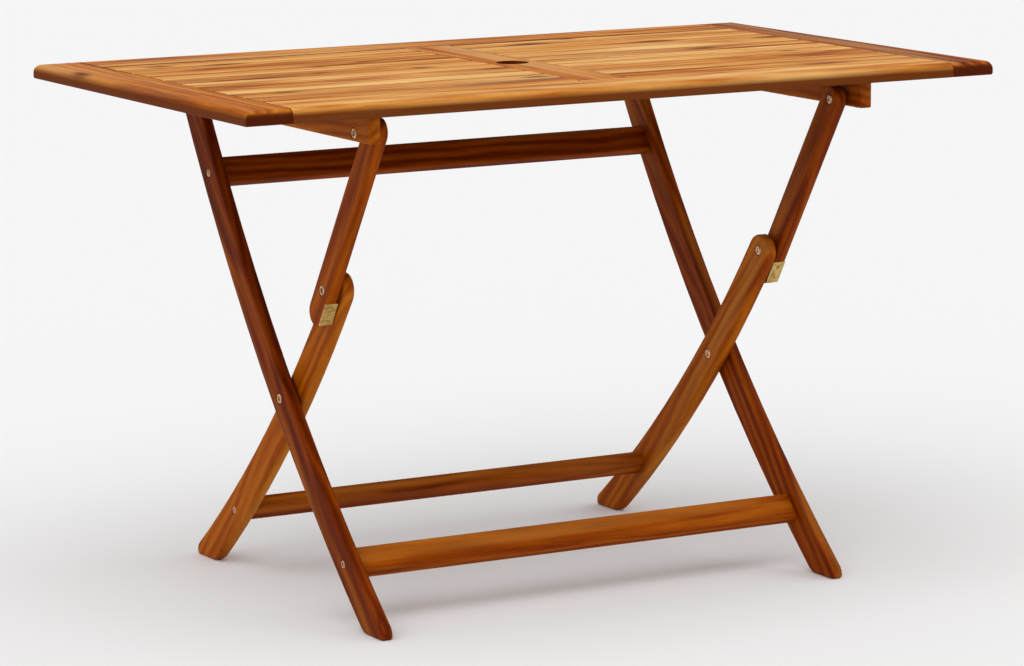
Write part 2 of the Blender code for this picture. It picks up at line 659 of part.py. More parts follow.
def make_links():
    """The upper links, each with an angled brass plate let into the front edge of its tail."""
    links = make_bars("upper_link", link_outline(), OUTER_BAR_FACE)
    flange_inner = OUTER_BAR_INNER - GAP - KNEE_PLATE_THICKNESS
    seat = LINK_HALF_WIDTH - KNEE_PLATE_THICKNESS - GAP
    half = BAR_THICKNESS / 2
    for (label, side), link in zip(SIDES, links):
        drill_bar(link, side, LINK_PIVOT, OUTER_BAR_INNER, OUTER_BAR_FACE, inner_seat=True)
        drill_bar(link, side, KNEE, OUTER_BAR_INNER, OUTER_BAR_FACE, outer_seat=True)
        middle = side * (OUTER_BAR_FACE - half)
        rebate = box_cutter("knee_rebate_" + label, (KNEE_PLATE_TOP - GAP, seat, -BAR_THICKNESS),
                            (KNEE_PLATE_BOTTOM + 2 * CUT_MARGIN, seat + CUT_MARGIN, BAR_THICKNESS))
        inward = -side * place_on_link(rebate, middle)
        cut(link, rebate)
        name = "knee_plate_" + label
        faces = sorted((inward * (OUTER_BAR_FACE - half - flange_inner), -inward * half))
        plate = add_object(name, box_mesh(name, (KNEE_PLATE_TOP, seat + GAP, faces[0]),
                                          (KNEE_PLATE_BOTTOM, LINK_HALF_WIDTH, faces[1])), TABLE, BRASS)
        place_on_link(plate, middle)
        flange_faces = sorted((inward * (half + GAP), inward * (half + GAP + KNEE_PLATE_THICKNESS)))
        flange = box_cutter(name + "_flange",
                            (KNEE_PLATE_TOP, LINK_HALF_WIDTH - KNEE_PLATE_FLANGE, flange_faces[0]),
                            (KNEE_PLATE_BOTTOM, LINK_HALF_WIDTH, flange_faces[1]))
        place_on_link(flange, middle)
        combine(plate, flange, "UNION")


clear_scene()
TABLE = make_collection("folding_picnic_table")
CUTTERS = make_collection("cutters")
TOP_WOOD = make_material("oiled_acacia_top", (0.50, 0.22, 0.07), 0.45)
LEG_WOOD = make_material("oiled_acacia_frame", (0.26, 0.085, 0.025), 0.45)
STEEL = make_material("zinc_plated_steel", (0.60, 0.55, 0.50), 0.35, 1.0)
BRASS = make_material("brass_plate", (0.72, 0.55, 0.27), 0.35, 1.0)

make_end_rails()
make_long_rails()
make_centre_board()
make_slats()
make_battens()
make_outer_frame()
make_lower_frame()
make_links()
make_pivots()

LINKS_PIVOT = hang("upper_links_pivot", LINK_PIVOT,
                   ("upper_link", "knee_plate", "link_pivot_nut", "knee_bolt"))
hang("lower_frame_pivot", KNEE, ("lower_", "knee_nut", "knee_washer", "crossing_nut"), LINKS_PIVOT)
hang("outer_frame_pivot", LEG_PIVOT, ("outer_", "leg_pivot_nut", "crossing_bolt"))
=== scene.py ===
"""A folding acacia picnic table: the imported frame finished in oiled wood, zinc and brass.

Metres. +X runs along the table, +Y to its back edge, +Z up, and the origin is on the floor under the
middle of the top. Every piece's place is worked out from the frame's own boxes.
"""
import json
import math

import bmesh
import bpy
from mathutils import Matrix, Vector


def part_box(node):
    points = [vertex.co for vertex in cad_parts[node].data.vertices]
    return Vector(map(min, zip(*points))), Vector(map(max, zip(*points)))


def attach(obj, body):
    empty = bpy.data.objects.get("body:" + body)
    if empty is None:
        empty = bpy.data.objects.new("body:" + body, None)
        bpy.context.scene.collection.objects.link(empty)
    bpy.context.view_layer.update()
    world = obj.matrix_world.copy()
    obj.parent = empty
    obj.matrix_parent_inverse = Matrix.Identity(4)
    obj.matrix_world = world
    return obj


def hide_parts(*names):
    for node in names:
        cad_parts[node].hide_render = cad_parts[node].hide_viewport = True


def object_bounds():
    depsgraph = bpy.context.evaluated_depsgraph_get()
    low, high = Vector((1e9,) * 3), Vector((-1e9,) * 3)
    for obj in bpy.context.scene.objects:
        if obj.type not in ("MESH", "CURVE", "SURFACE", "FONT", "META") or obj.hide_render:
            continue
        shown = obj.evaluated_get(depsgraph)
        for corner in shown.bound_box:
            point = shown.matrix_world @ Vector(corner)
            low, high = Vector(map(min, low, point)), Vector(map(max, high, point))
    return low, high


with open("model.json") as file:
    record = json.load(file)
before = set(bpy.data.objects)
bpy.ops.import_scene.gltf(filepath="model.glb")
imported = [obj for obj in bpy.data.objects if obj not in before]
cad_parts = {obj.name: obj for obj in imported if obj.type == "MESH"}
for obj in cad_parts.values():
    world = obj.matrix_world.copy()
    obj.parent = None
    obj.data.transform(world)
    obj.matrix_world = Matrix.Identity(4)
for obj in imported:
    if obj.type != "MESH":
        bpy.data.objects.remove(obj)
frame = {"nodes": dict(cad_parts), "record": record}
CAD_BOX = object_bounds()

# Sizes, in metres --------------------------------------------------------------------------------

WELD = 0.00002
CORNER_ROUND = 0.0016
PLATE_EDGE_ROUND = 0.0004
FLAT_ANGLE = math.radians(0.3)
SHARP_ANGLE = math.radians(47)
BROAD_FACE_LEAD = 60
SMOOTH_STEPS = 36

BOLT_HEAD_RADIUS = 0.0072
BOLT_HEAD_HEIGHT = 0.0022
BOLT_RADIUS = 0.0030
HEX_RADIUS = 0.0043
HEX_DEPTH = 0.0019
CHAMFER = 0.0006

SCREW_HEAD_RADIUS = 0.0058
SCREW_SHANK_RADIUS = 0.0020
SCREW_SEAT_DEPTH = 0.0021
SCREW_SUNK = 0.0003
SCREW_NECK = 0.0015
PLATE_SCREW_RADIUS = 0.0028
PLATE_SCREW_HEIGHT = 0.0011
PLATE_SCREW_NECK = 0.0006
BATTEN_SCREW_RADIUS = 0.8 * SCREW_HEAD_RADIUS
BATTEN_SCREW_HEIGHT = 0.0012
WASHER_RADIUS = 0.0085
WASHER_GAP = 0.0003

# A wood screw's socket against its head, and where a knee plate's screws are along it
SOCKET_SHARE = 0.55
SOCKET_DEPTH_SHARE = 0.8
PLATE_SCREW_PLACES = (0.26, 0.74)

SIDES = (("left", -1), ("right", 1))
NODES = frame["nodes"]
BODY_OF = {node: body for body, nodes in frame["record"]["behaviour"]["bodies"].items() for node in nodes}


# Materials ---------------------------------------------------------------------------------------

def colour(text):
    """An sRGB hex colour as linear red, green, blue and alpha."""
    values = [int(text[i:i + 2], 16) / 255 for i in (0, 2, 4)]
    linear = [v / 12.92 if v <= 0.04045 else ((v + 0.055) / 1.055) ** 2.4 for v in values]
    return (*linear, 1.0)


def add(tree, kind, inputs=None, **settings):
    """Add a shader node with its settings; each input is a value, or an output to link it to."""
    node = tree.nodes.new("ShaderNode" + kind)
    for name, value in settings.items():
        setattr(node, name, value)
    for key, value in (inputs or {}).items():
        if isinstance(value, bpy.types.NodeSocket):
            tree.links.new(value, node.inputs[key])
        else:
            node.inputs[key].default_value = value
    return node


def span(start, end):
    """The four limits that carry one range of values to another."""
    return {1: start[0], 2: start[1], 3: end[0], 4: end[1]}


def set_stops(ramp, stops):
    """Give a colour ramp its stops, each a place from 0 to 1 and a hex colour."""
    elements = ramp.color_ramp.elements
    while len(elements) < len(stops):
        elements.new(0.5)
    for element, (place, text) in zip(elements, stops):
        element.position = place
        element.color = colour(text)


def new_material(name, **values):
    """A material with its Principled shader; the values are constants on the shader's own sockets."""
    material = bpy.data.materials.new(name)
    material.use_nodes = True
    tree = material.node_tree
    shader = tree.nodes["Principled BSDF"]
    for key, value in values.items():
        shader.inputs[key.replace("_", " ")].default_value = value
    return material, tree, shader


# Growth rings are about 7 mm apart round a core 75 mm below. Streaks are 16 mm wide and 18 times as
# long. Fibres are 0.9 mm, drawn coarser than the real 0.2 mm so that they show, and 40 times as long.
RING_SPACING = 0.0070
LOG_CENTRE = 0.075
STREAK_WIDTH = 0.016
STREAK_SQUEEZE = (0.055, 1.0, 1.0)
FIBRE_WIDTH = 0.0009
FIBRE_SQUEEZE = (0.025, 1.0, 1.0)
SAP_SCALE = 0.42

# The rings stray up to 30 mm from straight, slowly along the log and faster across it
WANDER = 0.030
WANDER_SCALE = (2.4, 9.0, 9.0)

# How far each board's own numbers move its cut through the pattern and through the log
CUT_STEP = (0.0, 7.3, 3.1)
CORE_STEP = (0.0, 0.16, 0.05)

# How much rings and fibres show against the streaks
RING_SHARE = 0.32
FIBRE_SHARE = 0.36
FIBRES_UNDER_STREAKS = 0.3

PORE_RANGE, PORE_STRENGTH = (0.38, 0.28), 0.62
SAP_RANGE = (0.52, 0.74)
SHEEN_RANGE, SHEEN_ROUGHNESS = (0.25, 0.75), (0.70, 0.50)
END_RANGE = (0.70, 0.95)
GRAIN_BUMP, GRAIN_HEIGHT = 0.35, 0.0004

# Knots in the top, as X, Y and radius, where branches were sawn through; each is 3 times as long
KNOTS = (
    (0.150, 0.217, 0.013), (0.330, 0.152, 0.014), (0.515, 0.115, 0.010), (0.340, 0.025, 0.010),
    (-0.460, 0.220, 0.009), (-0.365, 0.200, 0.012), (-0.175, 0.128, 0.007), (-0.145, 0.010, 0.008),
    (-0.300, 0.020, 0.006), (-0.065, -0.060, 0.008), (-0.455, -0.173, 0.008), (-0.065, -0.185, 0.009),
    (-0.590, 0.195, 0.009), (-0.265, 0.093, 0.005), (0.235, 0.250, 0.006), (0.425, -0.075, 0.006),
)
KNOT_STRETCH = 3.0
KNOT_FADE = (1.5, 0.15)
KNOT_STRENGTH = 0.85

# The top's outer 5 mm is routed; whatever stands upright further in is a sawn gap or the pole's hole
ROUTED_BAND = 0.005
# Painted shade: faces of the top darken towards this brown the further they turn from up
EDGE_SHADE_BROWN = "642A04"
EDGE_SHADE_RANGE, EDGE_SHADE_STRENGTH = (0.80, 0.12), 0.96
# Painted shade: upright faces inside the routed band, in the gaps and the pole's hole, are painted dark
GAP_SHADE_RANGE, GAP_SHADE_STRENGTH = (0.75, 0.35), 0.85


def knot_mask(tree, place, grain):
    """1 at the heart of a knot and 0 away from it; each knot is drawn out along the grain."""
    drawn_out = Vector((1, 1, 0)) - Vector(grain) * (1 - 1 / KNOT_STRETCH)
    split = add(tree, "SeparateXYZ", {"Vector": place})
    total = None
    for x, y, radius in KNOTS:
        along = add(tree, "Math", {0: split.outputs["X"], 1: x}, operation="SUBTRACT")
        across = add(tree, "Math", {0: split.outputs["Y"], 1: y}, operation="SUBTRACT")
        spread = add(tree, "CombineXYZ", {"X": along.outputs[0], "Y": across.outputs[0]})
        shrunk = add(tree, "VectorMath", {0: spread.outputs[0], 1: tuple(drawn_out / radius)},
                     operation="MULTIPLY")
        reach = add(tree, "VectorMath", {0: shrunk.outputs[0]}, operation="LENGTH")
        mask = add(tree, "MapRange", {"Value": reach.outputs["Value"], **span(KNOT_FADE, (0.0, 1.0))},
                   interpolation_type="SMOOTHSTEP")
        if total is None:
            total = mask.outputs[0]
        else:
            total = add(tree, "Math", {0: total, 1: mask.outputs[0]}, operation="MAXIMUM").outputs[0]
    return total


def growth_rings(tree, along_log, cut, board):
    """Rings round the log's core, which wander so that a board cut near it shows pointed arches."""
    slow = add(tree, "VectorMath", {0: cut, 1: WANDER_SCALE}, operation="MULTIPLY")
    bend = add(tree, "TexNoise", {"Vector": slow.outputs[0], "Scale": 1.0, "Detail": 2.0})
    off_centre = add(tree, "VectorMath", {0: bend.outputs["Color"], 1: (0.5, 0.5, 0.5)},
                     operation="SUBTRACT")
    swing = add(tree, "VectorMath", {0: off_centre.outputs[0], 1: (0.0, WANDER * 2, WANDER * 2)},
                operation="MULTIPLY")
    strayed = add(tree, "VectorMath", {0: along_log, 1: swing.outputs[0]}, operation="ADD")
    offset = add(tree, "VectorMath", {0: board, 1: CORE_STEP}, operation="MULTIPLY")
    from_core = add(tree, "VectorMath", {0: strayed.outputs[0], 1: offset.outputs[0]}, operation="ADD")
    radial = add(tree, "VectorMath", {0: from_core.outputs[0], 1: (0.0, 1.0, 1.0)}, operation="MULTIPLY")
    core = add(tree, "VectorMath", {0: radial.outputs[0], 1: (0.0, 0.0, LOG_CENTRE)}, operation="ADD")
    reach = add(tree, "VectorMath", {0: core.outputs[0]}, operation="LENGTH")
    rings = add(tree, "Math", {0: reach.outputs["Value"], 1: RING_SPACING}, operation="PINGPONG")
    return add(tree, "MapRange", {"Value": rings.outputs[0], **span((0.0, RING_SPACING), (0.0, 1.0))},
               interpolation_type="SMOOTHSTEP").outputs[0]


def top_knots_and_shade(tree, place, normal, grain, shown, dark):
    """Each knot in the top, then painted shade: dark on the upright cut faces of the gaps between boards
    and of the pole's hole, and darker the lower a face turns, on the routed outer edge and below.
    """
    mask = knot_mask(tree, place, grain)
    ringed = add(tree, "Math", {0: mask, 1: KNOT_STRENGTH}, operation="MULTIPLY")
    knotted = add(tree, "Mix", {"Factor": ringed.outputs[0], 6: shown, 7: colour(dark)}, data_type="RGBA")

    # Painted shade: inside the routed band, upright faces, the walls of the gaps and of the pole's hole,
    # are painted dark
    half_length, half_depth = CAD_BOX[1][0], CAD_BOX[1][1]
    from_middle = add(tree, "VectorMath", {0: place}, operation="ABSOLUTE")
    parts = add(tree, "SeparateXYZ", {"Vector": from_middle.outputs[0]})
    within = add(tree, "Math", {0: parts.outputs["X"], 1: half_length - ROUTED_BAND},
                 operation="LESS_THAN")
    inside = add(tree, "Math", {0: parts.outputs["Y"], 1: half_depth - ROUTED_BAND},
                 operation="LESS_THAN")
    both = add(tree, "Math", {0: within.outputs[0], 1: inside.outputs[0]}, operation="MULTIPLY")
    facing = add(tree, "SeparateXYZ", {"Vector": normal})
    level_face = add(tree, "Math", {0: facing.outputs["Z"]}, operation="ABSOLUTE")
    upright = add(tree, "MapRange", {"Value": level_face.outputs[0],
                                     **span(GAP_SHADE_RANGE, (0.0, GAP_SHADE_STRENGTH))})
    gap_shade_mask = add(tree, "Math", {0: upright.outputs[0], 1: both.outputs[0]}, operation="MULTIPLY")
    gap_shaded = add(tree, "Mix", {"Factor": gap_shade_mask.outputs[0], 6: knotted.outputs[2], 7: colour(dark)},
               data_type="RGBA")

    # Painted shade: the routed edge, and every other face of the top that turns from up, is painted darker
    # the lower it faces
    edge_shade_mask = add(tree, "MapRange", {"Value": facing.outputs["Z"],
                                      **span(EDGE_SHADE_RANGE, (0.0, EDGE_SHADE_STRENGTH))})
    return add(tree, "Mix", {"Factor": edge_shade_mask.outputs[0], 6: gap_shaded.outputs[2], 7: colour(EDGE_SHADE_BROWN)},
               data_type="RGBA").outputs[2]


def oiled_acacia(name, grain, stops, pale, dark, evenness, end_soak, knots_and_shade=False):
    """Oiled acacia, planed and sanded: long honey and red-brown streaks, fine open pores, a soft sheen.

    grain is the direction of the fibres, evenness is how little the streaks differ and end_soak is how
    dark the cut ends are. Each piece's own colour holds its tone and where in the log it was cut.
    """
    material, tree, shader = new_material(name, Specular_IOR_Level=0.02, Coat_Weight=0.06,
                                          Coat_Roughness=0.28)
    surface = add(tree, "TexCoord")
    place, normal = surface.outputs["Object"], surface.outputs["Normal"]
    board = add(tree, "ObjectInfo").outputs["Color"]
    tone = add(tree, "SeparateColor", {"Color": board}).outputs["Red"]
    to_x = Vector(grain).rotation_difference(Vector((1, 0, 0))).to_euler()
    along_log = add(tree, "Mapping", {"Vector": place, "Rotation": to_x}).outputs[0]
    moved = add(tree, "VectorMath", {0: board, 1: CUT_STEP}, operation="MULTIPLY")
    cut = add(tree, "VectorMath", {0: along_log, 1: moved.outputs[0]}, operation="ADD").outputs[0]

    ring = growth_rings(tree, along_log, cut, board)
    wide = add(tree, "VectorMath", {0: cut, 1: STREAK_SQUEEZE}, operation="MULTIPLY")
    streaks = add(tree, "TexNoise", {"Vector": wide.outputs[0], "Scale": 1 / STREAK_WIDTH, "Detail": 5.0,
                                     "Roughness": 0.62, "Distortion": 0.5})
    fine = add(tree, "VectorMath", {0: cut, 1: FIBRE_SQUEEZE}, operation="MULTIPLY")
    fibres = add(tree, "TexNoise", {"Vector": fine.outputs[0], "Scale": 1 / FIBRE_WIDTH, "Detail": 3.0,
                                    "Roughness": 0.7})

    # Streaks lead, rings follow, and the piece's own tone moves the whole towards pale or dark
    contrast = span((0.5 - evenness, 0.5 + evenness), (0.0, 1.0))
    strong = add(tree, "MapRange", {"Value": streaks.outputs[0], **contrast})
    grained = add(tree, "Mix", {"Factor": RING_SHARE, 2: strong.outputs[0], 3: ring})
    haired = add(tree, "Mix", {"Factor": FIBRE_SHARE, 2: grained.outputs[0], 3: fibres.outputs[0]})
    toned = add(tree, "Math", {0: tone, 1: 0.5}, operation="SUBTRACT")
    level = add(tree, "Math", {0: haired.outputs[0], 1: toned.outputs[0]}, operation="ADD", use_clamp=True)
    ramp = add(tree, "ValToRGB", {"Fac": level.outputs[0]})
    set_stops(ramp, stops)

    # Open pores: short dark dashes along the fibres
    pores = add(tree, "MapRange", {"Value": fibres.outputs[0], **span(PORE_RANGE, (0.0, PORE_STRENGTH))})
    pored = add(tree, "Mix", {"Factor": pores.outputs[0], 6: ramp.outputs[0], 7: colour(dark)},
                data_type="RGBA")

    # Sapwood left along one side of some boards: a pale strip, stronger in a pale piece
    sap = add(tree, "TexNoise", {"Vector": wide.outputs[0], "Scale": SAP_SCALE / STREAK_WIDTH,
                                 "Detail": 1.0})
    sapped = add(tree, "MapRange", {"Value": sap.outputs[0], **span(SAP_RANGE, (0.0, 1.0))})
    sap_mask = add(tree, "Math", {0: sapped.outputs[0], 1: tone}, operation="MULTIPLY")
    pale_strip = add(tree, "Mix", {"Factor": sap_mask.outputs[0], 6: pored.outputs[2], 7: colour(pale)},
                     data_type="RGBA")
    shown = pale_strip.outputs[2]
    # Knot marks, and the top's painted shade on its edges, gaps and hole
    if knots_and_shade:
        shown = top_knots_and_shade(tree, place, normal, grain, shown, dark)

    # Cut ends drink more oil than faces do, so they are darker
    facing = add(tree, "VectorMath", {0: normal, 1: tuple(grain)}, operation="DOT_PRODUCT")
    ends = add(tree, "Math", {0: facing.outputs["Value"]}, operation="ABSOLUTE")
    end_mask = add(tree, "MapRange", {"Value": ends.outputs[0], **span(END_RANGE, (0.0, end_soak))})
    ended = add(tree, "Mix", {"Factor": end_mask.outputs[0], 6: shown, 7: colour(dark)}, data_type="RGBA")
    tree.links.new(ended.outputs[2], shader.inputs["Base Color"])

    sheen = add(tree, "MapRange", {"Value": fibres.outputs[0], **span(SHEEN_RANGE, SHEEN_ROUGHNESS)})
    tree.links.new(sheen.outputs[0], shader.inputs["Roughness"])
    height = add(tree, "Mix", {"Factor": FIBRES_UNDER_STREAKS, 2: fibres.outputs[0],
                               3: streaks.outputs[0]})
    bump = add(tree, "Bump", {"Height": height.outputs[0], "Strength": GRAIN_BUMP,
                              "Distance": GRAIN_HEIGHT})
    tree.links.new(bump.outputs[0], shader.inputs["Normal"])
    return material


# Working lines 0.4 mm apart, drawn coarser than the real 0.05 mm so that they show, and stains 6 mm wide
LINE_WIDTH = 0.0004
STAIN_WIDTH = 1 / 160
STAIN_RANGE, STAIN_STRENGTH = (0.40, 0.70), 0.8
LINE_RANGE = (0.3, 0.7)
LINE_ROUGHNESS = 0.16
LINE_BUMP, LINE_HEIGHT = 0.2, 0.0001


def worked_metal(name, base, stain, roughness, across):
    """Sheet or turned metal: fine working lines across its surface and a few duller, stained patches."""
    material, tree, shader = new_material(name, Metallic=1.0)
    place = add(tree, "TexCoord").outputs["Object"]
    lined = add(tree, "VectorMath", {0: place, 1: across}, operation="MULTIPLY")
    lines = add(tree, "TexNoise", {"Vector": lined.outputs[0], "Scale": 1 / LINE_WIDTH, "Detail": 2.0})
    stains = add(tree, "TexNoise", {"Vector": place, "Scale": 1 / STAIN_WIDTH, "Detail": 3.0})
    patchy = add(tree, "MapRange", {"Value": stains.outputs[0], **span(STAIN_RANGE, (0.0, STAIN_STRENGTH))})
    tint = add(tree, "Mix", {"Factor": patchy.outputs[0], 6: colour(base), 7: colour(stain)},
               data_type="RGBA")
    tree.links.new(tint.outputs[2], shader.inputs["Base Color"])
    dulled = span(LINE_RANGE, (roughness, roughness + LINE_ROUGHNESS))
    dull = add(tree, "MapRange", {"Value": lines.outputs[0], **dulled})
    tree.links.new(dull.outputs[0], shader.inputs["Roughness"])
    bump = add(tree, "Bump", {"Height": lines.outputs[0], "Strength": LINE_BUMP, "Distance": LINE_HEIGHT})
    tree.links.new(bump.outputs[0], shader.inputs["Normal"])
    return material


def middle_of(node):
    low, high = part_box(node)
    return (low + high) / 2


def lean(low_node, high_node):
    """The direction in the side view from one node's middle to another's."""
    direction = middle_of(high_node) - middle_of(low_node)
    direction.x = 0
    return direction.normalized()


LINK_GRAIN = lean("knee_bolt_left", "link_pivot_bolt_left")

# Boards along the table: even honey streaks, pale sapwood, dark drawn-out knot marks and the top's painted
# shade
LONG_BOARDS = dict(
    stops=((0.0, "5A1E04"), (0.20, "9A4A10"), (0.45, "C67A2C"), (0.72, "DE9C4C"), (1.0, "F2C684")),
    pale="F4CC86", dark="4A1600", evenness=0.13, end_soak=0.88, knots_and_shade=True)
# Boards across it: a redder brown that frames the honey ones
CROSS_BOARDS = dict(
    stops=((0.0, "561800"), (0.25, "96440A"), (0.50, "BE6C1A"), (0.78, "D28830"), (1.0, "E6AC5C")),
    pale="F4CC86", dark="4A1600", evenness=0.20, end_soak=0.88, knots_and_shade=True)
# The underframe: heartwood, a deep red-brown with quieter streaks
UNDERFRAME = dict(
    stops=((0.0, "3A0C00"), (0.28, "6E2600"), (0.55, "964400"), (0.80, "B46208"), (1.0, "CC8426")),
    pale="CE8838", dark="2A0600", evenness=0.30, end_soak=0.12)

TOP_WOOD = oiled_acacia("oiled_acacia_long_boards", (1, 0, 0), **LONG_BOARDS)
RAIL_WOOD = oiled_acacia("oiled_acacia_cross_boards", (0, 1, 0), **CROSS_BOARDS)
BEARER_WOOD = oiled_acacia("oiled_acacia_bearers", (0, 1, 0), **UNDERFRAME)
STRETCHER_WOOD = oiled_acacia("oiled_acacia_stretchers", (1, 0, 0), **UNDERFRAME)
LEG_WOOD = oiled_acacia("oiled_acacia_outer_legs", lean("outer_foot_stretcher", "outer_top_stretcher"),
                        **UNDERFRAME)
LOWER_WOOD = oiled_acacia("oiled_acacia_lower_legs", lean("lower_stretcher", "knee_bolt_left"),
                          **UNDERFRAME)
LINK_WOOD = oiled_acacia("oiled_acacia_links", LINK_GRAIN, **UNDERFRAME)
# Turned steel with a yellow zinc coat: small warm glints with brown stains round the sockets
ZINC = worked_metal("yellow_zinc_plated_steel", "DCB48E", "5C3A22", 0.26, (1.0, 0.2, 1.0))
# Bent sheet brass, brushed along its width: a broad soft yellow shine, tarnished in patches
BRASS = worked_metal("brushed_sheet_brass", "D8B670", "8E6A34", 0.30, (0.1, 1.0, 1.0))


# Wooden pieces -----------------------------------------------------------------------------------

# How pale each piece is, 0.5 being even; the slats run from the front to the back
SLAT_TONES = {
    "left": (0.36, 0.52, 0.66, 0.44, 0.58, 0.40, 0.54, 0.46, 0.50, 0.56),
    "right": (0.38, 0.50, 0.46, 0.62, 0.66, 0.42, 0.68, 0.44, 0.62, 0.52),
}
TONES = {
    "long_rail_front": 0.58, "long_rail_back": 0.38, "centre_board": 0.42, "end_rail_left": 0.46,
    "end_rail_right": 0.22, "batten_left": 0.66, "batten_right": 0.50, "outer_leg_left": 0.29,
    "outer_leg_right": 0.38, "lower_leg_left": 0.62, "lower_leg_right": 0.60, "upper_link_left": 0.48,
    "upper_link_right": 0.34, "outer_top_stretcher": 0.36, "outer_foot_stretcher": 0.52,
    "lower_stretcher": 0.48,
}
for side_name, side_tones in SLAT_TONES.items():
    for row, tone_value in enumerate(side_tones, 1):
        TONES[f"slat_{side_name}_{row:02d}"] = tone_value

# Two steps that never fall into line, so that no two boards are cut at the same place in the log
CUT_STEPS = (0.6180339, 0.4142135)


def wood_for(node):
    """The wood whose fibres run along this piece."""
    choices = (
        ("slat", TOP_WOOD), ("long_rail", TOP_WOOD), ("centre_board", RAIL_WOOD), ("end_rail", RAIL_WOOD),
        ("batten", BEARER_WOOD), ("outer_leg", LEG_WOOD), ("lower_leg", LOWER_WOOD),
        ("upper_link", LINK_WOOD), ("outer_", STRETCHER_WOOD), ("lower_stretcher", STRETCHER_WOOD),
    )
    return next(material for start, material in choices if node.startswith(start))


def settle(piece, node, material):
    """Dress a piece in the given material, and let it move with a node's body."""
    piece.data.materials.clear()
    piece.data.materials.append(material)
    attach(piece, BODY_OF[node])


def shade(bm):
    """Smooth shading that breaks at real corners."""
    for face in bm.faces:
        face.smooth = True
    for edge in bm.edges:
        edge.smooth = edge.calc_face_angle(0.0) < SHARP_ANGLE


def add_mesh(name, bm):
    mesh = bpy.data.meshes.new(name)
    bm.to_mesh(mesh)
    bm.free()
    piece = bpy.data.objects.new(name, mesh)
    bpy.context.scene.collection.objects.link(piece)
    return piece


def smoothed_copy(name, node):
    """A node's own solid as a new piece, with its flat facets joined and its curves smooth."""
    bm = bmesh.new()
    bm.from_mesh(NODES[node].data)
    bmesh.ops.remove_doubles(bm, verts=bm.verts, dist=WELD)
    bmesh.ops.dissolve_limit(bm, angle_limit=FLAT_ANGLE, verts=bm.verts, edges=bm.edges)
    shade(bm)
    return add_mesh(name, bm)


def even_normals(piece):
    """Let the broad faces lead the shading, so that rounded edges catch one clean highlight."""
    weights = piece.modifiers.new("even_normals", "WEIGHTED_NORMAL")
    weights.keep_sharp = True
    weights.weight = BROAD_FACE_LEAD


def finish_wood(node, number):
    """A sanded wooden piece in place of its node."""
    piece = smoothed_copy("oiled_" + node, node)
    if node.startswith("end_rail"):
        corners = piece.modifiers.new("sanded_corners", "BEVEL")
        corners.width = CORNER_ROUND
        corners.segments = 3
        corners.angle_limit = SHARP_ANGLE
        corners.harden_normals = True
    even_normals(piece)
    piece.color = (TONES[node], *((number * step) % 1.0 for step in CUT_STEPS), 1.0)
    settle(piece, node, wood_for(node))
    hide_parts(node)


# Metal pieces ------------------------------------------------------------------------------------

def turned(name, place, axis, rings, hollow=False):
    """A turned piece along axis: each ring is how far along, its radius, and its flats or 0 if round."""
    bm = bmesh.new()
    turn = Vector((0, 0, 1)).rotation_difference(Vector(axis)).to_matrix()
    loops = []
    for along, radius, flats in rings:
        loop = []
        for step in range(SMOOTH_STEPS):
            angle = 2 * math.pi * step / SMOOTH_STEPS
            reach = radius
            if flats:
                flat = math.pi / flats
                reach = radius * math.cos(flat) / math.cos(angle % (2 * flat) - flat)
            point = Vector((reach * math.cos(angle), reach * math.sin(angle), along))
            loop.append(bm.verts.new(Vector(place) + turn @ point))
        loops.append(loop)
    pairs = list(zip(loops, loops[1:])) + ([(loops[-1], loops[0])] if hollow else [])
    for first, second in pairs:
        for i in range(SMOOTH_STEPS):
            j = (i + 1) % SMOOTH_STEPS
            bm.faces.new((first[i], first[j], second[j], second[i]))
    if not hollow:
        bm.faces.new(loops[0])
        bm.faces.new(loops[-1])
    bmesh.ops.recalc_face_normals(bm, faces=bm.faces)
    shade(bm)
    return add_mesh(name, bm)


def head_rings(radius, height, hexagon, depth):
    """A low round head with a rounded rim and a hexagon socket, from its seat outwards."""
    return [(0, radius, 0), (height - CHAMFER, radius, 0),
            (height - CHAMFER * 0.3, radius - CHAMFER * 0.35, 0), (height, radius - CHAMFER, 0),
            (height, hexagon, 6), (height - depth, hexagon, 6)]


def disc_rings(thickness, radius):
    """A bored disc with broken edges, from one flat face to the other."""
    bore = BOLT_RADIUS + WASHER_GAP
    return [(0, bore, 0), (0, radius - CHAMFER, 0), (CHAMFER, radius, 0), (thickness - CHAMFER, radius, 0),
            (thickness, radius - CHAMFER, 0), (thickness, bore, 0)]


def face_distance(bar, side, outer=False):
    """How far from the middle plane a leg's inner or outer face is."""
    low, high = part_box(f"{bar}_{'left' if side < 0 else 'right'}")
    inner_face, outer_face = sorted((abs(low.x), abs(high.x)))
    return outer_face if outer else inner_face


def make_bolt(node, facing):
    """A bolt in place of its node: a socket head that faces along X and a plain shank behind it."""
    head, end = sorted((corner.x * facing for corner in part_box(node)), reverse=True)
    seat = head - BOLT_HEAD_HEIGHT
    centre = middle_of(node)
    rings = [(end - seat, BOLT_RADIUS, 0), (0, BOLT_RADIUS, 0)]
    rings += head_rings(BOLT_HEAD_RADIUS, BOLT_HEAD_HEIGHT, HEX_RADIUS, HEX_DEPTH)
    bolt = turned("socket_" + node, (facing * seat, centre.y, centre.z), (facing, 0, 0), rings)
    settle(bolt, node, ZINC)
    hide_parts(node)


def make_bolts():
    """Every pivot's bolt, and the crossing's nut, which is a bolt's other half from inside."""
    for label, side in SIDES:
        for pivot in ("link_pivot", "leg_pivot", "knee", "crossing"):
            make_bolt(f"{pivot}_bolt_{label}", side)
        make_bolt("crossing_nut_" + label, -side)


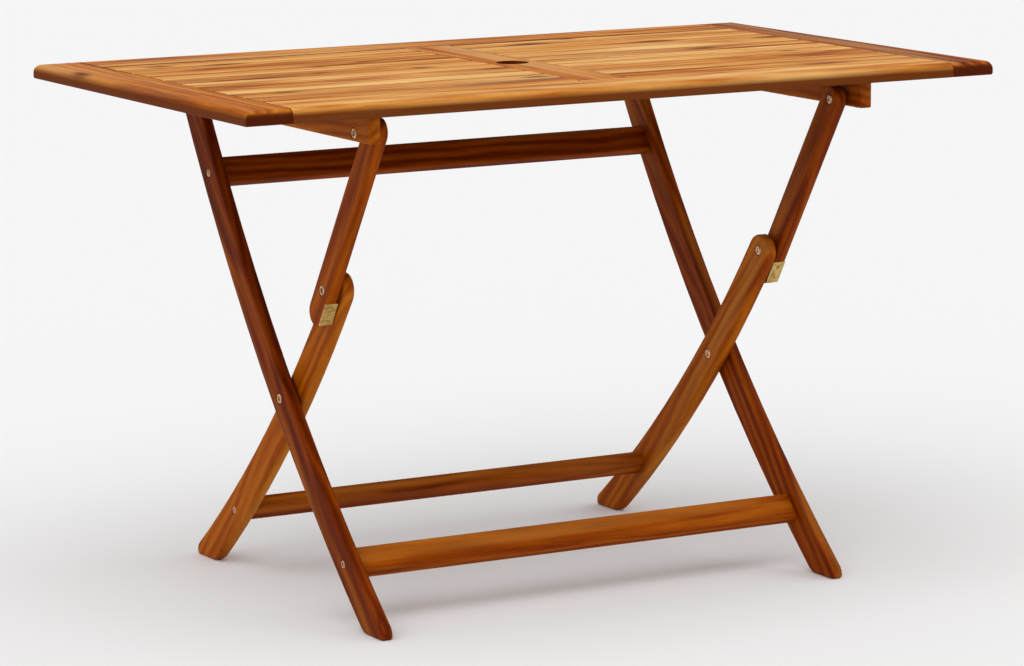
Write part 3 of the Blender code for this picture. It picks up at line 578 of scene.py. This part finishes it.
def make_discs():
    """Round nuts, spacers and washers."""
    kinds = ("link_pivot_nut", "leg_pivot_nut", "knee_nut", "link_pivot_spacer", "leg_pivot_spacer",
             "knee_washer")
    for label, side in SIDES:
        for kind in kinds:
            node = f"{kind}_{label}"
            low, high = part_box(node)
            centre = middle_of(node)
            disc = turned("turned_" + node, (low.x, centre.y, centre.z), (1, 0, 0),
                          disc_rings(high.x - low.x, (high.z - low.z) / 2), hollow=True)
            settle(disc, node, ZINC)
            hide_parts(node)

        # A known fault: this washer starts a gap inside the lower leg's face. It should be a gap off it
        bolt = middle_of("crossing_bolt_" + label)
        lower_face = face_distance("lower_leg", side, outer=True)
        thickness = face_distance("outer_leg", side) - lower_face - 2 * WASHER_GAP
        place = (side * (lower_face - WASHER_GAP), bolt.y, bolt.z)
        washer = turned("turned_crossing_washer_" + label, place, (side, 0, 0),
                        disc_rings(thickness, WASHER_RADIUS), hollow=True)
        settle(washer, "outer_leg_" + label, ZINC)


def screw(name, place, axis, radius, height, neck):
    """A socket-head wood screw whose head sits at place; its short neck goes below into the wood."""
    shank = SCREW_SHANK_RADIUS * radius / SCREW_HEAD_RADIUS
    rings = [(-neck, shank, 0), (0, shank, 0)]
    rings += head_rings(radius, height, radius * SOCKET_SHARE, height * SOCKET_DEPTH_SHARE)
    return turned(name, place, axis, rings)


def make_stretcher_screws():
    """One screw through each leg into each stretcher's end, its head just under the leg's face."""
    for label, side in SIDES:
        for stretcher, bar in (("outer_top_stretcher", "outer_leg"), ("outer_foot_stretcher", "outer_leg"),
                               ("lower_stretcher", "lower_leg")):
            centre = middle_of(stretcher)
            seat = face_distance(bar, side, outer=True) - SCREW_SEAT_DEPTH
            piece = screw(f"{stretcher}_screw_{label}", (side * seat, centre.y, centre.z), (side, 0, 0),
                          SCREW_HEAD_RADIUS, SCREW_SEAT_DEPTH - SCREW_SUNK, SCREW_NECK)
            settle(piece, f"{bar}_{label}", ZINC)


def make_plate_screws():
    """Two brass screws in the front face of each knee plate."""
    front = Vector((0, -LINK_GRAIN.z, LINK_GRAIN.y))
    for label, _ in SIDES:
        knee = middle_of("knee_bolt_" + label)
        points = [vertex.co for vertex in NODES["knee_plate_" + label].data.vertices]
        depth = max((point - knee).dot(front) for point in points)
        reach = sorted((point - knee).dot(-LINK_GRAIN) for point in points)
        middle = middle_of("upper_link_" + label).x
        for number, share in enumerate(PLATE_SCREW_PLACES, 1):
            along = reach[0] + share * (reach[-1] - reach[0])
            place = Vector((middle, knee.y, knee.z)) + front * depth - LINK_GRAIN * along
            piece = screw(f"knee_plate_screw_{label}_{number}", place, front, PLATE_SCREW_RADIUS,
                          PLATE_SCREW_HEIGHT, PLATE_SCREW_NECK)
            settle(piece, "upper_link_" + label, BRASS)


def make_batten_screws():
    """Screws up through each batten into the rails and two of the slats."""
    for label, _ in SIDES:
        low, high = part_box("batten_" + label)
        rows = ("long_rail_front", f"slat_{label}_03", f"slat_{label}_08", "long_rail_back")
        for number, row in enumerate(rows, 1):
            place = ((low.x + high.x) / 2, middle_of(row).y, low.z)
            piece = screw(f"batten_screw_{label}_{number}", place, (0, 0, -1), BATTEN_SCREW_RADIUS,
                          BATTEN_SCREW_HEIGHT, SCREW_NECK)
            settle(piece, "batten_" + label, ZINC)


def make_plates():
    """The knee plates, with broken edges."""
    for label, _ in SIDES:
        node = "knee_plate_" + label
        piece = smoothed_copy("brushed_" + node, node)
        edges = piece.modifiers.new("broken_edges", "BEVEL")
        edges.width = PLATE_EDGE_ROUND
        edges.segments = 2
        settle(piece, node, BRASS)
        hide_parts(node)


# The studio --------------------------------------------------------------------------------------

CAMERA_PLACE = (-3.04567, -5.38450, 1.40178)
CAMERA_YAW = 0.51434
CAMERA_PITCH = -0.16792
CAMERA_ROLL = -0.00537
CAMERA_LENS = 150.927
CAMERA_SENSOR = 36.0
CAMERA_REACH = 100.0

FLOOR_HALF_WIDTH = 30.0
FLOOR_COLOUR = "F0F0F0"
SKY_COLOUR, SKY_STRENGTH = "F4F4F4", 0.72


def make_camera():
    """A long lens from the front left, a little above the top."""
    data = bpy.data.cameras.new("camera")
    data.lens = CAMERA_LENS
    data.sensor_width = CAMERA_SENSOR
    data.clip_end = CAMERA_REACH
    ahead = Vector((math.sin(CAMERA_YAW) * math.cos(CAMERA_PITCH),
                    math.cos(CAMERA_YAW) * math.cos(CAMERA_PITCH), math.sin(CAMERA_PITCH)))
    level = Vector((math.cos(CAMERA_YAW), -math.sin(CAMERA_YAW), 0))
    upright = level.cross(ahead)
    right = math.cos(CAMERA_ROLL) * level + math.sin(CAMERA_ROLL) * upright
    up = math.cos(CAMERA_ROLL) * upright - math.sin(CAMERA_ROLL) * level
    camera = bpy.data.objects.new("camera", data)
    bpy.context.scene.collection.objects.link(camera)
    camera.matrix_world = (Matrix.Translation(CAMERA_PLACE)
                           @ Matrix((right, up, -ahead)).transposed().to_4x4())
    bpy.context.scene.camera = camera


def make_sun(name, energy, direction, width):
    """A sun shining along a direction, soft by its apparent width in degrees."""
    data = bpy.data.lights.new(name, "SUN")
    data.energy = energy
    data.angle = math.radians(width)
    lamp = bpy.data.objects.new(name, data)
    bpy.context.scene.collection.objects.link(lamp)
    lamp.rotation_mode = "QUATERNION"
    lamp.rotation_quaternion = Vector((0, 0, -1)).rotation_difference(Vector(direction))


def make_studio():
    """A pale floor of matt paper under even light, with a soft key from the front left."""
    bm = bmesh.new()
    bmesh.ops.create_grid(bm, x_segments=1, y_segments=1, size=FLOOR_HALF_WIDTH)
    floor = add_mesh("studio_floor", bm)
    paper, _, _ = new_material("matt_studio_paper", Roughness=0.9, Base_Color=colour(FLOOR_COLOUR),
                               Specular_IOR_Level=0.1)
    floor.data.materials.append(paper)
    world = bpy.data.worlds.new("studio")
    bpy.context.scene.world = world
    world.use_nodes = True
    sky = world.node_tree.nodes["Background"]
    sky.inputs["Color"].default_value = colour(SKY_COLOUR)
    sky.inputs["Strength"].default_value = SKY_STRENGTH
    make_sun("key", 1.25, (0.42, 0.38, -1.0), 70)
    make_sun("fill", 0.45, (-0.9, 0.35, -0.5), 60)
    bpy.context.scene.view_settings.view_transform = "Standard"


for index, wooden in enumerate(sorted(TONES), 1):
    finish_wood(wooden, index)
make_plates()
make_bolts()
make_discs()
make_stretcher_screws()
make_plate_screws()
make_batten_screws()
make_camera()
make_studio()
